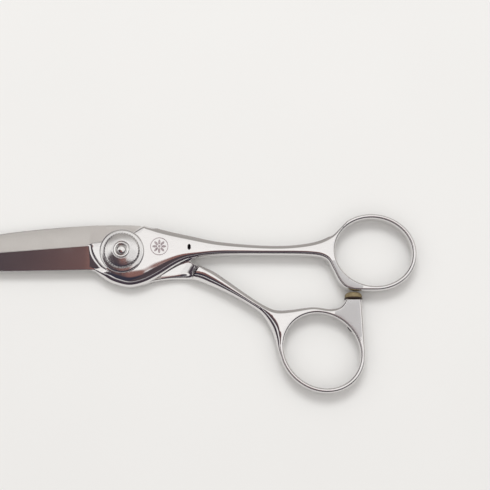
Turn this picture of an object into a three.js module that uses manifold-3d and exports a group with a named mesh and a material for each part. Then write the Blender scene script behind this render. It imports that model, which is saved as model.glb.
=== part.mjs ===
// Hair cutting shears, closed and lying on their back.
// +X runs from the blade tips to the finger rings, +Y from the thumb ring to the finger ring, +Z up.
// The origin is on the pivot's axis, at the flat back face of the pivot stud. Millimetres.
import * as THREE from 'three';
import { mergeVertices } from 'three/addons/utils/BufferGeometryUtils.js';
import Module from 'manifold-3d';

const wasm = await Module();
wasm.setup();

// Heights above the face that the shears lie on.
const STUD_PROUD = 0.5;
const LAYER = 2.8;
const LAYER_GAP = 0.2;
const THUMB_LAYER = [STUD_PROUD, STUD_PROUD + LAYER];
const FINGER_LAYER = [THUMB_LAYER[1] + LAYER_GAP, THUMB_LAYER[1] + LAYER_GAP + LAYER];
const PARTING = (THUMB_LAYER[1] + FINGER_LAYER[0]) / 2;
const HANDLE_HEIGHT = 5.6;
const HANDLE = [PARTING - HANDLE_HEIGHT / 2, PARTING + HANDLE_HEIGHT / 2];

// Blades.
const TIP_X = -72.5;
const HEEL_X = -10.8;
const BLADE_THICK = 2.1;
const TIP_THICK = 0.9;
const EDGE_LAND = 0.15;
const EDGE_WIDTH = 0.8;
const EDGE_RISE = 1.1;
const EDGE_PAST = 0.5;
const GRIND_PAST = 3;

// Finger rings: each is an ellipse with an even band round it.
const RING_BAND = 1.6;
const RING_SEGMENTS = 20;
const FINGER_RING = { x: 78.4, y: -0.1, a: 12.0, b: 10.6, tilt: -0.18 };
const THUMB_RING = { x: 62.0, y: -30.9, a: 12.3, b: 10.9, tilt: -0.7 };

// Pivot, from the back up.
const ROUND = 32;
const FIT = 0.15;
const STUD_HEAD_R = 4.6;
const STUD_HEAD_T = 0.9;
const STUD_SQUARE = 4.2;
const STUD_R = 2.0;
const STUD_END_R = 1.5;
const STUD_TOP = 9.3;
const WASHER_R = [3.0, 5.6];
const WASHER_T = 0.6;
const BUSH_R = [STUD_R + FIT, 3.1];
const SEAT_R = 5.5;
const SEAT_DEPTH = 1.1;
const RACE_R = [3.3, 5.3];
const RACE_T = 0.35;
const BALLS = 8;
const BALL_R = 0.5;
const BALL_CIRCLE_R = 4.3;
const CAGE_T = 0.4;
const CAGE_R = [3.4, 5.2];
const STACK_GAP = 0.05;
const CLICK_T = 0.25;
const CLICK_R = 5.2;
const DIAL_R = 6.9;
const DIAL_DOME_R = 5.5;
const DIAL_TOP = 8.9;
const LOCK_R = [1.75, 2.5];

// Bumper between the thumb half's post and the finger ring.
const BUMPER_X = 72.0;
const POST_TOP_Y = -14.9;
const BUMPER_R = 2.7;
const BUMPER_BASE_T = 0.5;
const BUMPER_LENGTH = 1.8;
const BUMPER_SCREW_R = 0.75;
const BUMPER_SCREW_LENGTH = 5.5;

// How far each rounded edge runs down and in.
const HANDLE_EDGE = { rise: 1.2, run: 0.3 };
const RING_EDGE = { rise: 1.2, run: 0.5 };
const FINGER_HUB_EDGE = { rise: 0.9, run: 0.35 };
const THUMB_HUB_EDGE = { rise: 0.7, run: 0.2 };
const POST_EDGE = { rise: 0.5, run: 0.15 };
const SQUARE_EDGE = { rise: 0, run: 0 };

// The solids that cut material away reach past what they cut.
const CUT_PAST = 5;
const CUT_WIDTH = 60;
const CUT_SPAN = [-1, 12];

const STEEL = { color: 0xc9c9cc, roughness: 0.08, metalness: 1 };
const SATIN_STEEL = { color: 0xb4b2b0, roughness: 0.3, metalness: 1 };
const BRONZE = { color: 0xb08d57, roughness: 0.35, metalness: 1 };
const BUMPER_TAN = { color: 0x8a7650, roughness: 0.6, metalness: 0 };
const DARK_BROWN = { color: 0x2a1a12, roughness: 0.5, metalness: 0 };

const group = new THREE.Group();

// A closed geometry as a solid that can be joined and cut.
function solidOf(geometry) {
  const bare = geometry.index ? geometry.toNonIndexed() : geometry.clone();
  bare.deleteAttribute('normal');
  bare.deleteAttribute('uv');
  const merged = mergeVertices(bare, 1e-4);
  return new wasm.Manifold(new wasm.Mesh({
    numProp: 3,
    vertProperties: merged.attributes.position.array,
    triVerts: new Uint32Array(merged.index.array),
  }));
}

function geometryOf(solid) {
  const mesh = solid.getMesh();
  const geometry = new THREE.BufferGeometry();
  geometry.setAttribute('position', new THREE.BufferAttribute(mesh.vertProperties, 3));
  geometry.setIndex(new THREE.BufferAttribute(mesh.triVerts, 1));
  const flat = geometry.toNonIndexed();
  flat.computeVertexNormals();
  return flat;
}

function add(name, geometry, finish) {
  const mesh = new THREE.Mesh(geometry, new THREE.MeshStandardMaterial(finish));
  mesh.name = name;
  group.add(mesh);
}

function cylinder(radius, zLow, zHigh, segments = ROUND) {
  const geometry = new THREE.CylinderGeometry(radius, radius, zHigh - zLow, segments);
  return geometry.rotateX(Math.PI / 2).translate(0, 0, (zLow + zHigh) / 2);
}

// A turned piece about the Z axis: profile is a list of [radius, height], going up the outside.
function turned(profile, segments = ROUND) {
  const points = profile.map(([r, z]) => new THREE.Vector2(r, z));
  return new THREE.LatheGeometry(points, segments).rotateX(Math.PI / 2);
}

// A flat ring: inner and outer radius, lowest and highest height.
function washer([inner, outer], zLow, zHigh, segments = ROUND) {
  return turned([
    [inner, zLow], [outer, zLow], [outer, zHigh], [inner, zHigh], [inner, zLow],
  ], segments);
}

// A closed outline through smooth runs of points; the runs meet at corners.
function outline(...runs) {
  const shape = new THREE.Shape();
  shape.moveTo(...runs[0][0]);
  for (const run of runs) {
    const points = run.map(([x, y]) => new THREE.Vector2(x, y));
    if (points[0].distanceTo(shape.currentPoint) > 0.01) shape.lineTo(points[0].x, points[0].y);
    if (points.length > 2) shape.splineThru(points.slice(1));
    else shape.lineTo(points[1].x, points[1].y);
  }
  return shape;
}

// A plate between two heights, with its top and bottom edges rounded inside the outline.
function plate(shape, [zLow, zHigh], { rise, run }, curveSegments = 3) {
  const geometry = new THREE.ExtrudeGeometry(shape, {
    depth: zHigh - zLow - 2 * rise,
    bevelEnabled: rise > 0,
    bevelThickness: rise,
    bevelSize: run,
    bevelOffset: -run,
    bevelSegments: 2,
    curveSegments,
  });
  return geometry.translate(0, 0, zLow + rise);
}

function ringShape({ x, y, a, b, tilt }, grow) {
  const shape = new THREE.Shape();
  shape.absellipse(x, y, a + grow, b + grow, 0, 2 * Math.PI, false, tilt);
  return shape;
}

function ringHole(ring) {
  return solidOf(plate(ringShape(ring, 0), CUT_SPAN, SQUARE_EDGE, RING_SEGMENTS));
}

function ringBand(ring) {
  const shape = ringShape(ring, RING_BAND);
  shape.holes.push(ringShape(ring, 0));
  return solidOf(plate(shape, HANDLE, RING_EDGE, RING_SEGMENTS));
}

// A blade: its plan, thinned from heel to tip, with the cutting edge ground along one side.
// up is +1 when the blade lies above the parting plane and -1 when it lies below.
function blade(plan, edgeHeel, edgeTip, edgeSide, up) {
  const inner = up > 0 ? FINGER_LAYER[0] : THUMB_LAYER[1];
  const outer = inner + up * BLADE_THICK;
  const heights = [Math.min(inner, outer), Math.max(inner, outer)];
  const body = solidOf(plate(plan, heights, SQUARE_EDGE, 6));

  const wedge = new THREE.Shape();
  wedge.moveTo(HEEL_X + CUT_PAST, outer);
  wedge.lineTo(HEEL_X, outer);
  wedge.lineTo(TIP_X - 1, inner + up * TIP_THICK);
  wedge.lineTo(TIP_X - 1, inner + up * CUT_PAST);
  wedge.lineTo(HEEL_X + CUT_PAST, inner + up * CUT_PAST);
  const thinning = new THREE.ExtrudeGeometry(wedge, { depth: CUT_WIDTH, bevelEnabled: false });
  thinning.rotateX(Math.PI / 2).translate(0, CUT_WIDTH / 2, 0);

  const heel = new THREE.Vector3(edgeHeel[0], edgeHeel[1], 0);
  const tip = new THREE.Vector3(edgeTip[0], edgeTip[1], 0);
  const run = heel.clone().sub(tip);
  const bevel = new THREE.Shape();
  bevel.moveTo(EDGE_PAST * edgeSide, up * EDGE_LAND);
  bevel.lineTo(0, up * EDGE_LAND);
  bevel.lineTo(-EDGE_WIDTH * edgeSide, up * (EDGE_LAND + EDGE_RISE));
  bevel.lineTo(-EDGE_WIDTH * edgeSide, up * CUT_PAST);
  bevel.lineTo(EDGE_PAST * edgeSide, up * CUT_PAST);
  const depth = run.length() + 2 * GRIND_PAST;
  const grind = new THREE.ExtrudeGeometry(bevel, { depth, bevelEnabled: false });
  grind.applyMatrix4(new THREE.Matrix4().makeBasis(
    new THREE.Vector3(-run.y, run.x, 0).normalize(),
    new THREE.Vector3(0, 0, 1),
    run.clone().normalize(),
  ));
  const start = tip.clone().addScaledVector(run, -GRIND_PAST / run.length());
  grind.translate(start.x, start.y, inner);
  return body.subtract(solidOf(thinning)).subtract(solidOf(grind));
}

function fingerHalf() {
  const hub = outline(
    [[-10.8, 2.3], [-7, 3.4], [-2.3, 4.9], [2.7, 6.2], [5.8, 8.0]],
    [[7.2, 8.35], [13.3, 6.7], [21.1, 4.9], [30.5, 3.0]],
    [[30.5, -1.0], [24.2, -1.8], [18, -3.8], [11.7, -7.5], [7.0, -9.9], [2.3, -10.9]],
    [[2.3, -10.9], [-2.3, -9.9], [-5.5, -8.3], [-8.6, -5.7], [-10.6, -2.2]],
  );
  const shank = outline(
    [[24.5, 4.1], [30.5, 3.0], [43, 1.9], [52.3, 1.9], [60, 3.0], [64.8, 4.8], [69, 8.0]],
    [[74, 0], [77, -11.5]],
    [
      [77, -12.25], [74, -12.35], [71.2, -12.1], [69, -11.1], [67.2, -8.8], [65.4, -5.2],
      [63.3, -2.2], [58, -1.1], [43, -0.9], [30.5, -1.0], [24.5, -1.8],
    ],
  );
  const plan = outline(
    [[HEEL_X + 3, 1.5], [HEEL_X, 2.25]],
    [[TIP_X, -2.3], [TIP_X, -2.6]],
    [[-66, -4.1], [-55, -5.3], [-38.3, -6.0], [-25, -5.9], [HEEL_X + 3, -5.6]],
  );
  const web = solidOf(plate(shank, HANDLE, HANDLE_EDGE));
  let solid = solidOf(plate(hub, FINGER_LAYER, FINGER_HUB_EDGE));
  solid = solid.add(web).add(ringBand(FINGER_RING)).subtract(ringHole(FINGER_RING));
  solid = solid.add(blade(plan, [HEEL_X, 2.3], [TIP_X, -2.3], 1, 1));
  const recess = FINGER_LAYER[0] + (WASHER_T + 2 * STACK_GAP - LAYER_GAP) / 2;
  solid = solid.subtract(solidOf(cylinder(WASHER_R[1] + FIT, PARTING, recess)));
  solid = solid.subtract(solidOf(cylinder(BUSH_R[1] + FIT, PARTING, FINGER_LAYER[1] + 1)));
  solid = solid.subtract(solidOf(cylinder(SEAT_R, FINGER_LAYER[1] - SEAT_DEPTH, FINGER_LAYER[1] + 1)));
  return solid;
}

function thumbHalf() {
  const hub = outline(
    [[-10.8, 0.3], [-10.2, 8.8]],
    [
      [-10.2, 8.8], [-3, 8.9], [4.4, 8.85], [6.6, 8.2], [10, 6.2], [15, 2.2], [20, -1.7],
      [24.5, -4.4], [28.9, -6.9],
    ],
    [[30.5, -11.3], [27.3, -10], [22.7, -8.6], [16.4, -8.2], [10.2, -8.9], [7, -9.9], [2.3, -10.9]],
    [[2.3, -10.9], [-2.3, -9.9], [-5.5, -8.3], [-8.6, -5.7], [-10.6, -2.2]],
  );
  const shank = outline(
    [
      [25.6, -4.9], [32.2, -8.85], [38.5, -13.35], [43.7, -16.75], [47.7, -18.45],
      [52.3, -18.4], [59.2, -17.6], [66.4, -18.2],
    ],
    [[66.4, -18.2], [62, -30]],
    [
      [49.1, -32.6], [48.5, -30.0], [47.4, -26.6], [46.0, -23.3], [43.4, -19.45], [39.6, -16.6],
      [33.4, -13.1], [27.3, -10.3], [22.8, -8.7],
    ],
  );
  const post = outline(
    [[64.5, -18.3], [67.4, -17.5], [69, -16.0], [69.6, POST_TOP_Y]],
    [[74.5, POST_TOP_Y], [74.9, -20], [75.25, -27], [75.3, -32.3]],
    [[70, -32], [66, -27]],
  );
  const plan = outline(
    [[HEEL_X + 3, 8.85], [-19.5, 8.1], [-32, 6.9], [-45, 4.9], [-60, 1.4], [TIP_X, -2.25]],
    [[TIP_X, -2.5], [HEEL_X, 0.3]],
    [[HEEL_X + 3, 0.6], [HEEL_X + 3, 8.85]],
  );
  let solid = solidOf(plate(hub, THUMB_LAYER, THUMB_HUB_EDGE));
  solid = solid.add(solidOf(plate(shank, HANDLE, HANDLE_EDGE)));
  solid = solid.add(solidOf(plate(post, HANDLE, POST_EDGE)));
  solid = solid.add(ringBand(THUMB_RING)).subtract(ringHole(THUMB_RING));
  solid = solid.add(blade(plan, [HEEL_X, 0.3], [TIP_X, -2.5], -1, -1));
  const recess = THUMB_LAYER[1] - (WASHER_T + 2 * STACK_GAP - LAYER_GAP) / 2;
  solid = solid.subtract(solidOf(cylinder(WASHER_R[1] + FIT, recess, PARTING)));
  solid = solid.subtract(solidOf(cylinder(STUD_HEAD_R + FIT, -1, STUD_HEAD_T + FIT)));
  const side = STUD_SQUARE + 2 * FIT;
  solid = solid.subtract(solidOf(new THREE.BoxGeometry(side, side, 12)));
  const screwHole = new THREE.CylinderGeometry(BUMPER_SCREW_R + FIT, BUMPER_SCREW_R + FIT, 14, 16);
  screwHole.translate(BUMPER_X, POST_TOP_Y - 6, PARTING);
  return solid.subtract(solidOf(screwHole));
}

function pivotStud() {
  const neckTop = THUMB_LAYER[1] - (WASHER_T - LAYER_GAP) / 2;
  const head = turned([
    [0, 0], [STUD_HEAD_R - 0.3, 0], [STUD_HEAD_R, 0.3], [STUD_HEAD_R, STUD_HEAD_T], [0, STUD_HEAD_T],
  ]);
  const threadTop = DIAL_TOP - 0.45;
  const shaft = turned([
    [0, 0.2], [STUD_R, 0.2], [STUD_R, threadTop], [STUD_END_R, threadTop],
    [STUD_END_R, STUD_TOP - 0.7], [STUD_END_R * 0.87, STUD_TOP - 0.3],
    [STUD_END_R * 0.5, STUD_TOP - 0.08], [0, STUD_TOP],
  ]);
  const neckT = neckTop - STUD_HEAD_T + 0.2;
  const neck = new THREE.BoxGeometry(STUD_SQUARE, STUD_SQUARE, neckT);
  neck.translate(0, 0, neckTop - neckT / 2);
  return solidOf(head).add(solidOf(neck)).add(solidOf(shaft));
}

function ballCage(zMid) {
  let cage = solidOf(washer(CAGE_R, zMid - CAGE_T / 2, zMid + CAGE_T / 2));
  for (let i = 0; i < BALLS; i += 1) {
    const angle = (2 * Math.PI * i) / BALLS;
    const pocket = cylinder(BALL_R + 0.1, zMid - 1, zMid + 1, 12);
    pocket.translate(BALL_CIRCLE_R * Math.cos(angle), BALL_CIRCLE_R * Math.sin(angle), 0);
    cage = cage.subtract(solidOf(pocket));
  }
  return cage;
}

function tensionDial(zLow, ceiling) {
  const bore = STUD_R + FIT;
  return turned([
    [bore, ceiling], [SEAT_R, ceiling], [SEAT_R, zLow], [DIAL_R - 0.1, zLow], [DIAL_R, zLow + 0.2],
    [DIAL_R - 0.15, zLow + 0.7], [DIAL_DOME_R + 0.15, DIAL_TOP - 0.95], [DIAL_DOME_R - 0.4, DIAL_TOP - 0.6],
    [4, DIAL_TOP - 0.25], [LOCK_R[1] + 0.1, DIAL_TOP], [LOCK_R[1] + 0.1, DIAL_TOP - 0.4],
    [bore, DIAL_TOP - 0.4], [bore, ceiling],
  ], 48);
}

// The bumper's pieces are turned about the line across the post, which runs along Y.
function acrossPost(profile, y, segments) {
  const points = profile.map(([r, h]) => new THREE.Vector2(r, h));
  return new THREE.LatheGeometry(points, segments).translate(BUMPER_X, y, PARTING);
}

add('finger_half', geometryOf(fingerHalf()), STEEL);
add('thumb_half', geometryOf(thumbHalf()), STEEL);
add('pivot_stud', geometryOf(pivotStud()), STEEL);
add('blade_washer', washer(WASHER_R, PARTING - WASHER_T / 2, PARTING + WASHER_T / 2), BRONZE);

const seatZ = FINGER_LAYER[1] - SEAT_DEPTH;
const bushLow = PARTING + WASHER_T / 2 + STACK_GAP;
add('bearing_bush', washer(BUSH_R, bushLow, seatZ), BRONZE);

const raceLow = seatZ + STACK_GAP;
const ballZ = raceLow + RACE_T + STACK_GAP + BALL_R;
const raceHigh = ballZ + BALL_R + STACK_GAP;
add('lower_race', washer(RACE_R, raceLow, raceLow + RACE_T), SATIN_STEEL);
add('ball_cage', geometryOf(ballCage(ballZ)), BRONZE);
for (let i = 0; i < BALLS; i += 1) {
  const angle = (2 * Math.PI * i) / BALLS;
  const ball = new THREE.SphereGeometry(BALL_R, 10, 7);
  ball.translate(BALL_CIRCLE_R * Math.cos(angle), BALL_CIRCLE_R * Math.sin(angle), ballZ);
  add(`bearing_ball_${i + 1}`, ball, STEEL);
}
add('upper_race', washer(RACE_R, raceHigh, raceHigh + RACE_T), SATIN_STEEL);

const clickLow = raceHigh + RACE_T + STACK_GAP;
add('click_plate', washer([STUD_R + FIT, CLICK_R], clickLow, clickLow + CLICK_T), SATIN_STEEL);
const dialCeiling = clickLow + CLICK_T + STACK_GAP;
add('tension_dial', tensionDial(FINGER_LAYER[1] + FIT, dialCeiling), STEEL);
add('lock_ring', turned([
  [LOCK_R[0], DIAL_TOP - 0.35], [LOCK_R[1], DIAL_TOP - 0.35], [LOCK_R[1], DIAL_TOP + 0.05],
  [LOCK_R[1] - 0.2, DIAL_TOP + 0.2], [LOCK_R[0], DIAL_TOP + 0.2], [LOCK_R[0], DIAL_TOP - 0.35],
]), STEEL);

const baseY = POST_TOP_Y + STACK_GAP;
const bumperY = baseY + BUMPER_BASE_T + STACK_GAP;
add('bumper_base', acrossPost([
  [BUMPER_SCREW_R + FIT, 0], [BUMPER_R + 0.1, 0], [BUMPER_R + 0.1, BUMPER_BASE_T],
  [BUMPER_SCREW_R + FIT, BUMPER_BASE_T], [BUMPER_SCREW_R + FIT, 0],
], baseY, 24), DARK_BROWN);
add('bumper', acrossPost([
  [0, 0], [BUMPER_R, 0], [BUMPER_R * 0.96, BUMPER_LENGTH * 0.45], [BUMPER_R * 0.72, BUMPER_LENGTH * 0.85],
  [BUMPER_R * 0.35, BUMPER_LENGTH * 0.98], [0, BUMPER_LENGTH],
], bumperY, 24), BUMPER_TAN);
add('bumper_screw', acrossPost([
  [0, 0], [BUMPER_SCREW_R, 0], [BUMPER_SCREW_R, BUMPER_SCREW_LENGTH], [0, BUMPER_SCREW_LENGTH],
], bumperY - STACK_GAP - BUMPER_SCREW_LENGTH, 16), SATIN_STEEL);

export default group;
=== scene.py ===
import math

import bmesh
import bpy
import numpy as np
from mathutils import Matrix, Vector
from mathutils.geometry import delaunay_2d_cdt


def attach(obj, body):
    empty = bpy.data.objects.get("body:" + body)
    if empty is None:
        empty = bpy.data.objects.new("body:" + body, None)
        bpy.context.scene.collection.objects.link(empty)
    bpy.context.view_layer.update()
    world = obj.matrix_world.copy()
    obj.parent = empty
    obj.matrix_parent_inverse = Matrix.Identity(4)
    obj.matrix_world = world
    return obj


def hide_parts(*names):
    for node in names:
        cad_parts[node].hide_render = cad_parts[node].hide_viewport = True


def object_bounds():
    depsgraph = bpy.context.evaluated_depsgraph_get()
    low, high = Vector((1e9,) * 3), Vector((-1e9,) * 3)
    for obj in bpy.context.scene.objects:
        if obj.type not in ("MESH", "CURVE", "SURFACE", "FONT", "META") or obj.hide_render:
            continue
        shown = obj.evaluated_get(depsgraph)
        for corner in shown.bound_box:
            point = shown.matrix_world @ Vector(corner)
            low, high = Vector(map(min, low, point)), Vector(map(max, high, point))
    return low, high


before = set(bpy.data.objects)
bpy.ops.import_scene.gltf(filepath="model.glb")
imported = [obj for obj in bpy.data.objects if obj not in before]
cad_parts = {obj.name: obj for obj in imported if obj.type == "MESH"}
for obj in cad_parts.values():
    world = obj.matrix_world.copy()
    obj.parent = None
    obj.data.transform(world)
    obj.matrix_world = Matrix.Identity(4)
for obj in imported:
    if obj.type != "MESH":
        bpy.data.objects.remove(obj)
cad_low, cad_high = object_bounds()

# The bench: a plain off-white board that the shears lie on, under a wide white tent and a
# softbox. The tent is white overhead, beige at the far side and dim towards the maker, whose
# coat and hands polished steel shows.
FLOOR_SIDE = 4.0
FLOOR_DROP = 0.00005
BOARD_DARK, BOARD_LIGHT = (0.835, 0.825, 0.81, 1), (0.865, 0.855, 0.84, 1)

floor_mesh = bpy.data.meshes.new("bench")
half_side = FLOOR_SIDE / 2
floor_z = cad_low.z - FLOOR_DROP
floor_mesh.from_pydata(
    [(-half_side, -half_side, floor_z), (half_side, -half_side, floor_z),
     (half_side, half_side, floor_z), (-half_side, half_side, floor_z)],
    [], [(0, 1, 2, 3)],
)
floor = bpy.data.objects.new("bench", floor_mesh)
bpy.context.collection.objects.link(floor)
board = bpy.data.materials.new("warm_white_board")
board.use_nodes = True
board_nodes, board_links = board.node_tree.nodes, board.node_tree.links
board_bsdf = board_nodes["Principled BSDF"]
board_bsdf.inputs["Roughness"].default_value = 0.75
board_bsdf.inputs["Specular IOR Level"].default_value = 0.15
board_place = board_nodes.new("ShaderNodeTexCoord")
board_mottle = board_nodes.new("ShaderNodeTexNoise")
board_mottle.inputs["Scale"].default_value = 14.0
board_mottle.inputs["Detail"].default_value = 2.0
board_ramp = board_nodes.new("ShaderNodeValToRGB")
board_ramp.color_ramp.elements[0].color = BOARD_DARK
board_ramp.color_ramp.elements[1].color = BOARD_LIGHT
board_links.new(board_place.outputs["Object"], board_mottle.inputs["Vector"])
board_links.new(board_mottle.outputs["Fac"], board_ramp.inputs["Fac"])
board_links.new(board_ramp.outputs["Color"], board_bsdf.inputs["Base Color"])
floor_mesh.materials.append(board)

tent = bpy.data.worlds.new("white_tent")
bpy.context.scene.world = tent
tent.use_nodes = True
sky = tent.node_tree
sky.nodes.clear()


def calc(tree, operation, *values):
    """One sum in a node tree; each value is a number or another node's output."""
    node = tree.nodes.new("ShaderNodeMath")
    node.operation = operation
    for socket, value in zip(node.inputs, values):
        if isinstance(value, (int, float)):
            socket.default_value = value
        else:
            tree.links.new(value, socket)
    return node.outputs[0]


def soft_step(tree, value, low, high):
    """From 0 at low to 1 at high, with soft ends."""
    node = tree.nodes.new("ShaderNodeMapRange")
    node.interpolation_type = "SMOOTHSTEP"
    tree.links.new(value, node.inputs["Value"])
    node.inputs["From Min"].default_value = low
    node.inputs["From Max"].default_value = high
    return node.outputs["Result"]


def length_of(tree, x, y):
    return calc(tree, "SQRT", calc(tree, "ADD", calc(tree, "MULTIPLY", x, x), calc(tree, "MULTIPLY", y, y)))


def sky_mix(factor, low, high):
    node = sky.nodes.new("ShaderNodeMix")
    node.data_type = "RGBA"
    sky.links.new(factor, node.inputs["Factor"])
    for socket, value in ((node.inputs[6], low), (node.inputs[7], high)):
        if isinstance(value, tuple):
            socket.default_value = (*value, 1)
        else:
            sky.links.new(value, socket)
    return node.outputs[2]


def sky_shade(colour, share):
    """A colour multiplied by a slightly blue grey."""
    node = sky.nodes.new("ShaderNodeMix")
    node.data_type = "RGBA"
    node.blend_type = "MULTIPLY"
    node.inputs["Factor"].default_value = 1.0
    sky.links.new(colour, node.inputs[6])
    node.inputs[7].default_value = (share, share, share * 1.01, 1)
    return node.outputs[2]


def sky_figure(centre, half):
    """How far out of an oval figure on the tent a direction is: 1 at its outline."""
    off = [calc(sky, "DIVIDE", calc(sky, "SUBTRACT", value, middle), size)
           for value, middle, size in zip((across, nearer), centre, half)]
    return length_of(sky, *off)


OVERHEAD = (1.0, 0.985, 0.97)
FAR_SIDE = (0.43, 0.41, 0.39)
NEAR_SIDE = (0.07, 0.055, 0.07)
MAKER_COAT = (0.085, 0.066, 0.075)
MAKER_HANDS = (0.26, 0.135, 0.120)
DOORWAY = (0.040, 0.040, 0.060)
CANOPY_LOW = (0.26, 0.25, 0.245)
CANOPY_HIGH = (0.93, 0.92, 0.905)
BACKDROP = (0.80, 0.785, 0.77)
MAKER_SPOT, MAKER_SPREAD = (-0.30, 0.38), (0.45, 0.56)
DOOR_SPOT, DOOR_SPREAD = (1.75, 0.75), (1.05, 1.10)
APRON_SPOT, APRON_SPREAD = (0.20, 0.72), (0.80, 0.50)
HORIZON = (0.50, 0.70)
FAR_LIFT = 0.35
CLOUD_SCALE, CLOUD_SHADE = 2.6, 0.80
TENT_GLOW = 1.12

place = sky.nodes.new("ShaderNodeTexCoord")
axes = sky.nodes.new("ShaderNodeSeparateXYZ")
sky.links.new(place.outputs["Generated"], axes.inputs[0])
tent_x, tent_y, tent_z = axes.outputs
steep = calc(sky, "MAXIMUM", tent_z, 0.02)
across = calc(sky, "DIVIDE", tent_x, steep)
nearer = calc(sky, "DIVIDE", calc(sky, "MULTIPLY", tent_y, -1.0), steep)
side = sky_mix(soft_step(sky, tent_y, -0.25, 0.15), NEAR_SIDE, FAR_SIDE)
low_left = calc(sky, "MULTIPLY", soft_step(sky, tent_x, -0.30, -0.60), soft_step(sky, tent_z, 0.80, 0.60))
side = sky_mix(low_left, side, NEAR_SIDE)
rise = calc(sky, "SUBTRACT", tent_z, calc(sky, "MULTIPLY", calc(sky, "MAXIMUM", tent_y, 0.0), FAR_LIFT))
shell = sky_mix(soft_step(sky, rise, *HORIZON), side, OVERHEAD)
shell = sky_mix(soft_step(sky, sky_figure(DOOR_SPOT, DOOR_SPREAD), 0.85, 1.05), DOORWAY, shell)
shell = sky_mix(soft_step(sky, sky_figure(APRON_SPOT, APRON_SPREAD), 0.88, 1.04), MAKER_COAT, shell)
clouds = sky.nodes.new("ShaderNodeTexNoise")
clouds.inputs["Scale"].default_value = CLOUD_SCALE
clouds.inputs["Detail"].default_value = 2.0
sky.links.new(place.outputs["Generated"], clouds.inputs["Vector"])
shell = sky_mix(soft_step(sky, clouds.outputs["Fac"], 0.35, 0.70), shell, sky_shade(shell, CLOUD_SHADE))
maker = sky_mix(soft_step(sky, across, -0.23, -0.08), MAKER_COAT, MAKER_HANDS)
maker = sky_mix(soft_step(sky, nearer, 0.25, 0.45), maker, DOORWAY)
shell = sky_mix(soft_step(sky, sky_figure(MAKER_SPOT, MAKER_SPREAD), 0.94, 1.03), maker, shell)
ray = sky.nodes.new("ShaderNodeLightPath")
canopy = sky_mix(soft_step(sky, tent_z, 0.35, 0.85), CANOPY_LOW, CANOPY_HIGH)
shell = sky_mix(ray.outputs["Is Diffuse Ray"], shell, canopy)
shell = sky_mix(ray.outputs["Is Camera Ray"], shell, BACKDROP)
glow = sky.nodes.new("ShaderNodeBackground")
glow.inputs["Strength"].default_value = TENT_GLOW
sky.links.new(shell, glow.inputs["Color"])
tent_out = sky.nodes.new("ShaderNodeOutputWorld")
sky.links.new(glow.outputs[0], tent_out.inputs["Surface"])

SOFTBOX_WIDTH, SOFTBOX_DEPTH, SOFTBOX_POWER = 0.42, 0.30, 2.8
SOFTBOX_PLACE, SOFTBOX_AIM = (0.03, 0.42, 0.85), Vector((0.04, 0.0, 0.0))

soft = bpy.data.lights.new("far_softbox", "AREA")
soft.shape = "RECTANGLE"
soft.size, soft.size_y = SOFTBOX_WIDTH, SOFTBOX_DEPTH
soft.energy = SOFTBOX_POWER
soft.color = (0.98, 1.0, 1.01)
softbox = bpy.data.objects.new("far_softbox", soft)
softbox.location = SOFTBOX_PLACE
softbox.rotation_euler = (SOFTBOX_AIM - softbox.location).to_track_quat("-Z", "Y").to_euler()
softbox.visible_glossy = False
bpy.context.collection.objects.link(softbox)

VIEW_WIDTH = 0.1531
VIEW_DISTANCE = 0.40
VIEW_TILT = math.radians(11.5)
VIEW_AIM = Vector((0.0383, 0.0022, 0.005))

camera_data = bpy.data.cameras.new("camera")
camera_data.sensor_width = 36.0
camera_data.lens = camera_data.sensor_width * VIEW_DISTANCE / VIEW_WIDTH
camera = bpy.data.objects.new("camera", camera_data)
camera.location = VIEW_AIM + VIEW_DISTANCE * Vector((0, -math.sin(VIEW_TILT), math.cos(VIEW_TILT)))
camera.rotation_euler = (VIEW_TILT, 0, 0)
camera_data.clip_start, camera_data.clip_end = 0.01, 20
bpy.context.collection.objects.link(camera)
bpy.context.scene.camera = camera
bpy.context.scene.view_settings.view_transform = "Standard"

# The finger half: one forging in cobalt steel that carries the upper blade, the pivot hub, the
# long shank and the upper ring. It is ground flat on top, its belly and edges are rolled by
# hand on the wheel, and the whole of it is mirror polished.
MM = 0.001
SKIN_STEP = 0.45
ROLL_ROWS = 9
EXTRA_FALL = 0.4
EASED_SLOPE, EASED_RUN_IN = 0.44, 3
SHARP_EDGE, SHARP_DROP = 0.15, 0.08
WALL_ROWS = 4


def spline(points, step=SKIN_STEP, count=None):
    """Dense points through the given points, without the last one.

    Each span has count points, or one for each step of its length in x and y.
    """
    given = np.array(points, float)
    padded = np.vstack([given[:1], given, given[-1:]])
    dense = []
    for a, b, c, d in zip(padded, padded[1:], padded[2:], padded[3:]):
        parts = count or max(1, math.ceil(np.linalg.norm((c - b)[:2]) / step))
        for t in np.arange(parts) / parts:
            dense.append(0.5 * (2 * b + (c - a) * t + (2 * a - 5 * b + 4 * c - d) * t ** 2
                                + (3 * b - a - 3 * c + d) * t ** 3))
    return dense


def ring_angle(ring, x, y):
    """The angle, on a ring's own oval, of the outer point nearest to (x, y)."""
    dx, dy = x - ring["x"], y - ring["y"]
    c, s = math.cos(-ring["tilt"]), math.sin(-ring["tilt"])
    u, v = dx * c - dy * s, dx * s + dy * c
    return math.atan2(v / (ring["b"] + ring["band"]), u / (ring["a"] + ring["band"]))


def ring_arc(ring, grow, start, end, roll):
    """Points round a ring's oval, grown by a margin, between two angles."""
    count = math.ceil(abs(end - start) * (ring["a"] + grow) / SKIN_STEP)
    c, s = math.cos(ring["tilt"]), math.sin(ring["tilt"])
    points = []
    for angle in np.linspace(start, end, count, endpoint=False):
        u, v = (ring["a"] + grow) * math.cos(angle), (ring["b"] + grow) * math.sin(angle)
        points.append(np.array((ring["x"] + u * c - v * s, ring["y"] + u * s + v * c, roll)))
    return points


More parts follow.
